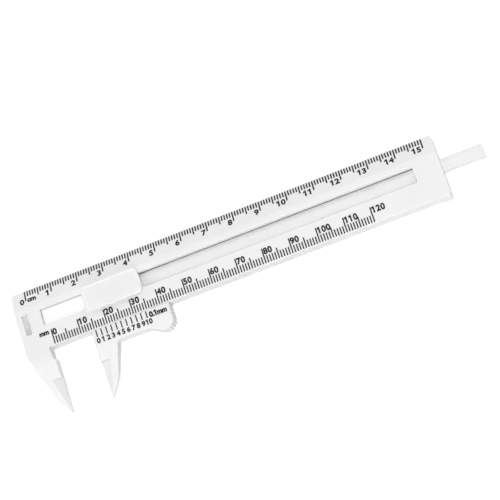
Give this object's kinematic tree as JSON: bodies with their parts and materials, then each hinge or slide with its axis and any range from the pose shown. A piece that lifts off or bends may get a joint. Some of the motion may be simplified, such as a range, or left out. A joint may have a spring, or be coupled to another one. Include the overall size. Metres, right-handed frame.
{
  "type": "vernier caliper",
  "caption": "Plastic vernier caliper with a bevelled ruler edge, sliding jaw with thumb pad and ribbed grip, and a flat depth rod.",
  "frame": {"origin": "on the fixed jaw's measuring face, 8 mm below the beam's lower edge and halfway through the blade's thickness", "axes": "+X along the beam, the way the slider opens and square to the measuring face; +Y from the jaw tips towards the bevelled ruler edge; +Z out of the printed face, so the caliper lies on its back"},
  "size_m": [0.1743, 0.0473, 0.0096],
  "materials": {
    "beam": "satin white moulding",
    "slider": "satin white moulding",
    "thumb_pad": "satin white moulding",
    "depth_rod": "satin white moulding",
    "print": "black printed scale"
  },
  "bodies": {
    "beam": {"beam_with_fixed_jaw": "beam"},
    "slider": {"slider_with_moving_jaw": "slider", "thumb_pad": "thumb_pad", "depth_rod": "depth_rod"}
  },
  "joints": [
    {"name": "jaw_slide", "type": "slide", "parent": "beam", "child": "slider", "axis": [1, 0, 0], "range_m": [-0.0153, 0.1047]}
  ]
}
